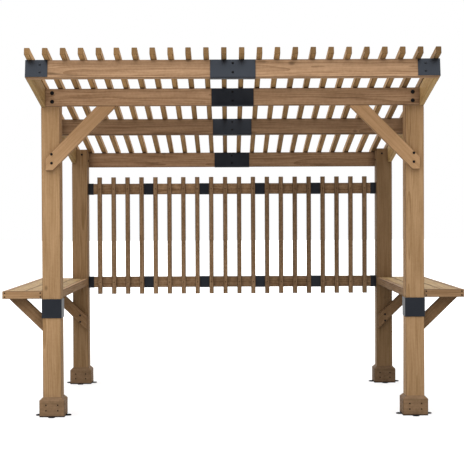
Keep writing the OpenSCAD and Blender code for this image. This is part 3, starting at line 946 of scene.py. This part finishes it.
class PERGOLA_OT_foot_boards(bpy.types.Operator):
    """Casings of four mitred boards with bevelled upper edges round the post feet"""

    bl_idname = "pergola.foot_boards"
    bl_label = "Foot boards"

    def execute(self, context):
        for corner in CORNERS:
            node = f"{corner}_foot_boards"
            piece = Piece(f"dressed_{node}")
            self.add_casing(piece, node_points(node), context.scene.pergola_timber.foot_arris)
            piece.finish_timber("foot_boards", node)
        return {"FINISHED"}

    def add_casing(self, piece, points, ease):
        """Adds four boards that narrow inwards by their mitres and rise inwards by their bevel."""
        low, high = box_corners(points)
        centre = (low + high) / 2
        half = (high[0] - low[0]) / 2
        height = high[2] - low[2]
        upper_edge = points[(points[:, 1] < low[1] + MM) & (points[:, 2] > high[2] - MM)]
        bevel = half - abs(upper_edge[:, 0] - centre[0]).max()
        from_centre = np.unique(abs(points[:, 0] - centre[0]).round(LEVEL_DIGITS))
        thickness = half - from_centre[from_centre > MM].min()
        outer = rectangle((-half, 0.0), (half, height - bevel))
        inner = rectangle((thickness - half, 0.0), (half - thickness, height))
        for angle in np.arange(4) * np.pi / 2:
            across = np.array([np.cos(angle), np.sin(angle), 0.0])
            inward = np.cross(Z, across)
            start = np.array([centre[0], centre[1], low[2]]) - half * inward
            shell = eased_prism(outer, np.array([-across, Z, inward]), start, thickness, ease, inner)
            reach = shell["points"] - start
            below_bevel = height - bevel + bevel * (reach @ inward) / thickness - reach @ Z
            # Painted shade on the upward bevels, which the light from above would brighten
            shell["wear_and_bevel_shade"] = np.where(below_bevel < ease, BEVEL_PAINTED_SHADE, shell["wear_and_bevel_shade"])
            middle = start + height / 2 * Z + thickness / 2 * inward
            piece.add_timber(shell, (inward, Z, across), middle, piece.draw.uniform(*FOOT_PITH, 2))


class PERGOLA_OT_base_plates(bpy.types.Operator):
    """Coats the base plates, which keep their drilled shape"""

    bl_idname = "pergola.base_plates"
    bl_label = "Base plates"

    def execute(self, context):
        for corner in CORNERS:
            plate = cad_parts[f"{corner}_base_plate"]
            plate.data.materials.clear()
            plate.data.materials.append(powder_coated_steel(SCOURED_COAT))
        return {"FINISHED"}


class PERGOLA_OT_sleeves(bpy.types.Operator):
    """Square steel sleeves over the joints of the front posts"""

    bl_idname = "pergola.sleeves"
    bl_label = "Post sleeves"

    def execute(self, context):
        steel = context.scene.pergola_steel
        for side in SIDES:
            node = f"{side}_post_sleeve"
            low, high = node_box(node)
            wall = node_box(f"front_{side}_post_lower")[0, 1] - low[1]
            piece = Piece(f"folded_{node}")
            piece.add_steel(upright_tube(low, high, steel.bend, wall, steel.edge))
            piece.finish_steel(node)
        return {"FINISHED"}


class PERGOLA_OT_beams(bpy.types.Operator):
    """Side beams and spliced cross beams"""

    bl_idname = "pergola.beams"
    bl_label = "Beams"

    def execute(self, context):
        ease = context.scene.pergola_timber.arris
        for side in SIDES:
            node = f"{side}_side_beam"
            piece = Piece(f"dressed_{node}")
            piece.add_board(node_points(node), ease)
            piece.finish_timber("beam_timber", node, finish="side_beams")
        for node in CROSS_BEAMS:
            piece = Piece(f"dressed_{node}")
            # Painted shade: the front beams are painted deeper along the top, under the slats' overhang
            fade = BEAM_PAINTED_SHADE if node.startswith("front") else 0.0
            for points, tone in zip(ordered_solids(node, 0), LENGTH_TONES[node]):
                piece.add_board(points, ease, tone=tone, fade=fade)
            piece.finish_timber("beam_timber", node)
        return {"FINISHED"}


class PERGOLA_OT_saddles(bpy.types.Operator):
    """U-shaped saddles under the splices of the cross beams"""

    bl_idname = "pergola.saddles"
    bl_label = "Splice saddles"

    def execute(self, context):
        steel = context.scene.pergola_steel
        bend, edge = steel.bend, steel.edge
        for beam in CROSS_BEAMS:
            node = f"{beam}_saddle"
            axes = beam_axes(beam)
            (front, rear), (low, high), (left, right) = (extent(node, axis) for axis in axes)
            inner_front, inner_rear = extent(beam, axes[0])
            floor = extent(beam, axes[1])[0]
            outline = np.array([
                (front, low), (rear, low), (rear, high), (inner_rear, high), (inner_rear, floor),
                (inner_front, floor), (inner_front, high), (front, high)])
            hollow = max(bend - (floor - low), edge)
            radii = [bend, bend, edge, edge, hollow, hollow, edge, edge]
            piece = Piece(f"folded_{node}")
            piece.add_steel(eased_prism(outline, axes, left * axes[2], right - left, radii))
            # Painted shade: the middle saddle, under the roof, takes the coat that reflects less
            piece.finish_steel(node, coat=SHADED_COAT if beam == "middle_beam" else BLACK_COAT)
        return {"FINISHED"}


class PERGOLA_OT_corner_brackets(bpy.types.Operator):
    """Angle brackets round the front corners of the roof"""

    bl_idname = "pergola.corner_brackets"
    bl_label = "Corner brackets"

    def execute(self, context):
        steel = context.scene.pergola_steel
        bend, edge = steel.bend, steel.edge
        through, _, _ = beam_axes("front_beam")
        forward = -through
        for side in SIDES:
            node = f"{side}_corner_bracket"
            outward = outward_of(side)
            along = np.cross(outward, forward)
            (inner, outer), (rear, front), (start, end) = (
                extent(node, axis) for axis in (outward, forward, along))
            wall = front - extent("front_beam", forward)[1]
            outline = np.array([
                (inner, front - wall), (outer - wall, front - wall), (outer - wall, rear), (outer, rear),
                (outer, front), (inner, front)])
            radii = [edge, max(bend - wall, edge), edge, edge, bend, edge]
            piece = Piece(f"folded_{node}")
            piece.add_steel(eased_prism(
                outline, np.array([outward, forward, along]), start * along, end - start, radii))
            piece.finish_steel(node)
        return {"FINISHED"}


class PERGOLA_OT_roof_slats(bpy.types.Operator):
    """Roof slats that run down the slope"""

    bl_idname = "pergola.roof_slats"
    bl_label = "Roof slats"

    def execute(self, context):
        timber = context.scene.pergola_timber
        piece = Piece("dressed_roof_slats")
        for points in node_solids("roof_slats"):
            # Painted light: each slat is painted paler the further left it lies, where more light comes from
            tone = SLAT_TONE - SLAT_LIGHT_LEAN * points[:, 0].mean() / CAD_HIGH.x
            piece.add_board(points, timber.thin_arris, spread=timber.slat_spread, tone=tone)
        piece.finish_timber("roof_slats", "roof_slats")
        return {"FINISHED"}


class PERGOLA_OT_knee_braces(bpy.types.Operator):
    """Knee braces on the faces of the front posts"""

    bl_idname = "pergola.knee_braces"
    bl_label = "Knee braces"

    def execute(self, context):
        for side in SIDES:
            node = f"{side}_knee_brace"
            piece = Piece(f"dressed_{node}")
            piece.add_brace(node_points(node), context.scene.pergola_timber.arris)
            piece.finish_timber("brace_and_rail_timber", node)
        return {"FINISHED"}


class PERGOLA_OT_screen(bpy.types.Operator):
    """Screen panels of upright slats on two rails"""

    bl_idname = "pergola.screen"
    bl_label = "Rear screen"

    def execute(self, context):
        ease = context.scene.pergola_timber.thin_arris
        for node in SCREEN_PANELS:
            piece = Piece(f"dressed_{node}")
            across, through, levels = (node_levels(node, axis) for axis in range(3))
            front, joint, rear = through
            # Painted light: the rails are painted paler than the slats that shade them
            for rail, tone in zip((levels[1:3], levels[3:5]), SCREEN_RAIL_PAINTED_LIGHT):
                piece.add_board(self.board_corners(across[[0, -1]], (joint, rear), rail), ease, tone=tone)
            for slat in across[1:-1].reshape(-1, 2):
                piece.add_board(self.board_corners(slat, (front, joint), levels[[0, -1]]), ease)
            piece.finish_timber("screen_timber", node)
        return {"FINISHED"}

    def board_corners(self, across, through, levels):
        """Corner points of a level board, from its ends along each axis."""
        plan = rectangle(*zip(across, through))
        return np.concatenate([np.column_stack([plan, np.full(len(plan), level)]) for level in levels])


class PERGOLA_OT_screen_fittings(bpy.types.Operator):
    """Folded channels that join the screen's panels and hold its ends to the posts"""

    bl_idname = "pergola.screen_fittings"
    bl_label = "Screen fittings"

    def execute(self, context):
        steel = context.scene.pergola_steel
        rail_front = node_levels(SCREEN_PANELS[0], 1)[1]
        clips = Piece("folded_screen_clips")
        for points in node_solids("screen_clips"):
            low, high = box_corners(points)
            clips.add_steel(self.channel(low, high, rail_front - low[1], steel))
        clips.finish_steel("screen_clips")
        ends = Piece("folded_screen_end_brackets")
        for points in node_solids("screen_end_brackets"):
            low, high = box_corners(points)
            wall = rail_front - low[1]
            plate = rectangle(low[1:], high[1:])
            plate_start = low[0] if low[0] < 0 else high[0] - wall
            left_gap, right_gap = (wall, 0.0) if low[0] < 0 else (0.0, wall)
            ends.add_steel(self.channel(low + left_gap * X, high - right_gap * X, wall, steel))
            ends.add_steel(eased_prism(plate, SIDE_AXES, plate_start * X, wall, steel.edge))
        ends.finish_steel("screen_end_brackets")
        return {"FINISHED"}

    def channel(self, low, high, wall, steel):
        """Channel along the width, with a front plate and a lip above and below the rail."""
        left, y0, z0 = low
        right, y1, z1 = high
        outline = np.array([
            (y0, z0), (y1, z0), (y1, z0 + wall), (y0 + wall, z0 + wall), (y0 + wall, z1 - wall),
            (y1, z1 - wall), (y1, z1), (y0, z1)])
        bend = wall + steel.edge
        radii = [bend] + 6 * [steel.edge] + [bend]
        return eased_prism(outline, SIDE_AXES, left * X, right - left, radii)


class PERGOLA_OT_shelves(bpy.types.Operator):
    """Side shelves: rails, boards and braces"""

    bl_idname = "pergola.shelves"
    bl_label = "Side shelves"

    def execute(self, context):
        timber = context.scene.pergola_timber
        for side in SIDES:
            for part, slot, ease in (
                    ("long_rails", "brace_and_rail_timber", timber.thin_arris),
                    ("cross_rails", "brace_and_rail_timber", timber.thin_arris),
                    ("deck", "shelf_boards", timber.deck_arris)):
                node = f"{side}_shelf_{part}"
                piece = Piece(f"dressed_{node}")
                for points in node_solids(node):
                    piece.add_board(points, ease)
                piece.finish_timber(slot, node)
            node = f"{side}_shelf_braces"
            piece = Piece(f"dressed_{node}")
            for points, tone in zip(ordered_solids(node, 1), SHELF_BRACE_TONES[side]):
                piece.add_brace(points, timber.thin_arris, tone=tone)
            piece.finish_timber("brace_and_rail_timber", node, finish="shelf_braces")
        return {"FINISHED"}


class PERGOLA_OT_bolts(bpy.types.Operator):
    """Hexagon bolts on washers at the joints of the frame and on the steel fittings"""

    bl_idname = "pergola.bolts"
    bl_label = "Bolts"

    # Radius of a hexagon head as a share of its washer's
    HEAD_SHARE = 0.62
    # Distance of the bolts from a post's middle line, towards the middle of the part
    BEAM_INSET = 20 * MM
    KNEE_INSET = 12 * MM
    # Heights of the pairs of bolts, as shares of the piece's height or from a knee brace's foot
    BEAM_LEVELS = (0.26, 0.75)
    SADDLE_LEVELS = (0.30, 0.80)
    BRACKET_LEVELS = (0.28, 0.72)
    KNEE_RISES = (55 * MM, 122 * MM)
    # Share of a corner bracket's leg between its edge and the bolts
    BRACKET_SHARE = 0.34
    # Distance of a shelf brace's two bolts from the brace's middle line
    BRACE_OFFSETS = (-29 * MM, 29 * MM)
    # Depth of the side bolts under a post's top, then depth and inset of the rear posts' front bolts
    TOP_DROP = 100 * MM
    REAR_DROP = 46 * MM
    REAR_INSET = 50 * MM

    def execute(self, context):
        steel = context.scene.pergola_steel
        oxide = coated_fixings("black oxide bolts", steel.fixing)
        coat = powder_coated_steel(BLACK_COAT)
        for name, spots, washer, finish in (
                ("beam_bolts", self.beam_spots(), steel.beam_washer, oxide),
                ("knee_brace_bolts", self.knee_brace_spots(), steel.brace_washer, oxide),
                ("saddle_bolts", self.saddle_spots(), steel.bolt_head, oxide),
                ("corner_bracket_bolts", self.corner_bracket_spots(), steel.bolt_head, coat),
                ("shelf_brace_bolts", self.shelf_brace_spots(), steel.bolt_head, oxide),
                ("post_top_bolts", self.post_top_spots(), steel.bolt_head, oxide)):
            piece = Piece(name)
            piece.add_steel(turned_heads(spots, self.profile(washer / 2), BOLT_STEPS))
            piece.finish(finish, "black_steel")
        return {"FINISHED"}

    def profile(self, rim):
        """Washer, then a hexagon head with a rounded top: rows of radius, height and whether hexagonal."""
        head = self.HEAD_SHARE * rim
        return [
            (rim, -0.5 * MM, False), (rim, 1.6 * MM, False), (rim - 0.5 * MM, 2.2 * MM, False),
            (head, 2.3 * MM, True), (head, 6.5 * MM, True), (0.9 * head, 7.3 * MM, True),
            (0.4 * head, 7.6 * MM, False)]

    def beam_spots(self):
        """Two bolts at each end of the plumb beams, into the posts."""
        for beam, post, facing in (
                ("front_post_beam", "front_{}_post_lower", -Y), ("rear_beam", "back_{}_post", Y)):
            box = node_box(beam)
            for side, share in product(SIDES, self.BEAM_LEVELS):
                x = node_box(post.format(side))[:, 0].mean() * X - self.BEAM_INSET * outward_of(side)
                yield x + part_way(*box[:, 2], share) * Z + on_face(box, facing), facing

    def knee_brace_spots(self):
        """Two bolts through the foot of each knee brace."""
        for side, rise in product(SIDES, self.KNEE_RISES):
            box = node_box(f"{side}_knee_brace")
            x = node_box(f"front_{side}_post_lower")[:, 0].mean() * X - self.KNEE_INSET * outward_of(side)
            yield x + (box[0, 2] + rise) * Z + on_face(box, -Y), -Y

    def saddle_spots(self):
        """Two bolts through the middle of each saddle, seen on both sides."""
        for beam, share in product(CROSS_BEAMS, self.SADDLE_LEVELS):
            points = node_points(f"{beam}_saddle")
            through, up, _ = beam_axes(beam)
            heights = points @ up
            for facing in (-through, through):
                yield part_way(heights.min(), heights.max(), share) * up + on_face(points, facing), facing

    def corner_bracket_spots(self):
        """Two bolts on each face of the corner brackets."""
        through, up, _ = beam_axes("front_beam")
        for side, share in product(SIDES, self.BRACKET_LEVELS):
            node = f"{side}_corner_bracket"
            points = node_points(node)
            height = part_way(*extent(node, up), share) * up
            facings = (-through, outward_of(side))
            for facing, along in (facings, facings[::-1]):
                aside = part_way(*extent(node, along), self.BRACKET_SHARE) * along
                yield height + aside + on_face(points, facing), facing

    def shelf_brace_spots(self):
        """Two bolts through the foot of each shelf brace, on the side away from the post."""
        for side in SIDES:
            x = node_box(f"back_{side}_post")[:, 0].mean()
            for points in node_solids(f"{side}_shelf_braces"):
                across = points @ outward_of(side)
                foot = points[across < across.min() + MM]
                slope = (points[:, 2].max() - foot[:, 2].max()) / np.ptp(across)
                middle = foot[:, 2].mean() + abs(x - foot[0, 0]) * slope
                facing = Y if points[:, 1].mean() < 0 else -Y
                for offset in self.BRACE_OFFSETS:
                    yield x * X + (middle + offset) * Z + on_face(points, facing), facing

    def post_top_spots(self):
        """Bolts from the post tops into the side beams, and from the rear posts into the rear beam."""
        for side in SIDES:
            inward = -outward_of(side)
            for node in (f"front_{side}_post_upper", f"back_{side}_post"):
                box = node_box(node)
                top = box[1, 2]
                yield on_face(box, inward) + box[:, 1].mean() * Y + (top - self.TOP_DROP) * Z, inward
            across = on_face(box, inward) - self.REAR_INSET * inward
            yield across + on_face(box, -Y) + (top - self.REAR_DROP) * Z, -Y


class PERGOLA_OT_screws(bpy.types.Operator):
    """Wood screws in the foot boards, shelf rails, shelf boards, screen and roof slats"""

    bl_idname = "pergola.screws"
    bl_label = "Wood screws"

    # Distance of the screws from a foot board's middle line, and their heights
    FOOT_OFFSETS = (-45 * MM, 45 * MM)
    FOOT_RISES = (43 * MM, 85 * MM)
    # Distance of the screws from the ends of a shelf's end rails, and their heights as shares of the rail's
    RAIL_INSET = 18 * MM
    RAIL_LEVELS = (0.25, 0.75)
    # Places of the screws across a shelf board, as shares of its width
    BOARD_SHARES = (0.22, 0.78)
    # Decimals of a metre to which the lines of the bearers are told apart
    LINE_DIGITS = 3

    def execute(self, context):
        steel = context.scene.pergola_steel
        bronze = coated_fixings("bronze-coated screws", steel.screw)
        for name, spots, head in (
                ("foot_board_screws", self.foot_board_spots(), steel.screw_head),
                ("shelf_rail_screws", self.shelf_rail_spots(), steel.screw_head),
                ("shelf_board_screws", self.shelf_board_spots(), steel.screw_head),
                ("screen_screws", self.screen_spots(), steel.thin_screw_head),
                ("roof_slat_screws", self.roof_slat_spots(), steel.screw_head)):
            piece = Piece(name)
            piece.add_steel(turned_heads(spots, self.profile(head / 2), SCREW_STEPS))
            piece.finish(bronze, "black_steel")
        return {"FINISHED"}

    def profile(self, rim):
        """Countersunk head with a hexagon socket: rows of radius, height and whether hexagonal."""
        return [
            (rim, -0.5 * MM, False), (rim, 0.5 * MM, False), (0.8 * rim, 0.9 * MM, False),
            (0.4 * rim, 0.9 * MM, True), (0.3 * rim, 0.1 * MM, True)]

    def foot_board_spots(self):
        """Four screws in each foot board."""
        for corner in CORNERS:
            box = node_box(f"{corner}_foot_boards")
            foot = np.array([*box.mean(axis=0)[:2], box[0, 2]])
            half = np.ptp(box[:, 0]) / 2
            for outward, offset, rise in product((X, -X, Y, -Y), self.FOOT_OFFSETS, self.FOOT_RISES):
                yield foot + half * outward + offset * np.cross(Z, outward) + rise * Z, outward

    def shelf_rail_spots(self):
        """Two screws at both ends of the shelves' end rails."""
        for side in SIDES:
            rails = ordered_solids(f"{side}_shelf_cross_rails", 1)
            for points, facing in ((rails[0], -Y), (rails[-1], Y)):
                low, high = box_corners(points)
                places = (low[0] + self.RAIL_INSET, high[0] - self.RAIL_INSET)
                for x, share in product(places, self.RAIL_LEVELS):
                    yield x * X + part_way(low[2], high[2], share) * Z + on_face(points, facing), facing

    def shelf_board_spots(self):
        """Two screws in each shelf board over each bearer."""
        for side in SIDES:
            rails = node_solids(f"{side}_shelf_cross_rails")
            lines = np.unique([points[:, 1].mean().round(self.LINE_DIGITS) for points in rails])
            for points in node_solids(f"{side}_shelf_deck"):
                low, high = box_corners(points)
                crossed = lines[(lines > low[1]) & (lines < high[1])]
                for y, share in product(crossed, self.BOARD_SHARES):
                    yield (part_way(low[0], high[0], share), y, high[2]), Z

    def screen_spots(self):
        """One screw where each screen slat crosses a rail."""
        for node in SCREEN_PANELS:
            across, through, levels = (node_levels(node, axis) for axis in range(3))
            slats = across[1:-1].reshape(-1, 2).mean(axis=1)
            rails = levels[1:5].reshape(-1, 2).mean(axis=1)
            for x, z in product(slats, rails):
                yield (x, through[0], z), -Y

    def roof_slat_spots(self):
        """One screw where each roof slat crosses a beam."""
        beams = [node_points(beam).mean(axis=0) for beam in CROSS_BEAMS]
        for points in node_solids("roof_slats"):
            centre, axes, _ = box_axes(points)
            along = axes[2]
            up = max(axes[:2], key=lambda axis: abs(axis[2]))
            up = up * np.sign(up[2])
            rise = np.ptp(points @ up) / 2
            for beam in beams:
                reach = (beam - centre) * (1 - X) @ along
                yield centre + reach * along + rise * up, up


class PERGOLA_PT_pieces(bpy.types.Panel):
    """Lists the pieces of the pergola"""

    bl_idname = "PERGOLA_PT_pieces"
    bl_label = "Bar pergola"
    bl_space_type = "VIEW_3D"
    bl_region_type = "UI"
    bl_category = "Pergola"

    def draw(self, context):
        for operator in OPERATORS:
            self.layout.operator(operator.bl_idname)


OPERATORS = (
    PERGOLA_OT_stage, PERGOLA_OT_posts, PERGOLA_OT_foot_boards, PERGOLA_OT_base_plates, PERGOLA_OT_sleeves,
    PERGOLA_OT_beams, PERGOLA_OT_saddles, PERGOLA_OT_corner_brackets, PERGOLA_OT_roof_slats,
    PERGOLA_OT_knee_braces, PERGOLA_OT_screen, PERGOLA_OT_screen_fittings, PERGOLA_OT_shelves,
    PERGOLA_OT_bolts, PERGOLA_OT_screws,
)
SETTINGS = {
    "pergola_timber": PergolaTimber,
    "pergola_steel": PergolaSteel,
    "pergola_stage": PergolaStage,
}


def register():
    """Registers the settings, the operators and the panel."""
    for cls in (*SETTINGS.values(), *OPERATORS, PERGOLA_PT_pieces):
        bpy.utils.register_class(cls)
    for title, cls in SETTINGS.items():
        setattr(bpy.types.Scene, title, bpy.props.PointerProperty(type=cls))


def unregister():
    """Takes back what register did, in the other order."""
    for title in SETTINGS:
        delattr(bpy.types.Scene, title)
    for cls in (PERGOLA_PT_pieces, *reversed(OPERATORS), *SETTINGS.values()):
        bpy.utils.unregister_class(cls)


def main():
    """Makes every piece in order."""
    register()
    bpy.ops.pergola.stage()
    bpy.ops.pergola.posts()
    bpy.ops.pergola.foot_boards()
    bpy.ops.pergola.base_plates()
    bpy.ops.pergola.sleeves()
    bpy.ops.pergola.beams()
    bpy.ops.pergola.saddles()
    bpy.ops.pergola.corner_brackets()
    bpy.ops.pergola.roof_slats()
    bpy.ops.pergola.knee_braces()
    bpy.ops.pergola.screen()
    bpy.ops.pergola.screen_fittings()
    bpy.ops.pergola.shelves()
    bpy.ops.pergola.bolts()
    bpy.ops.pergola.screws()


if __name__ == "__main__":
    main()
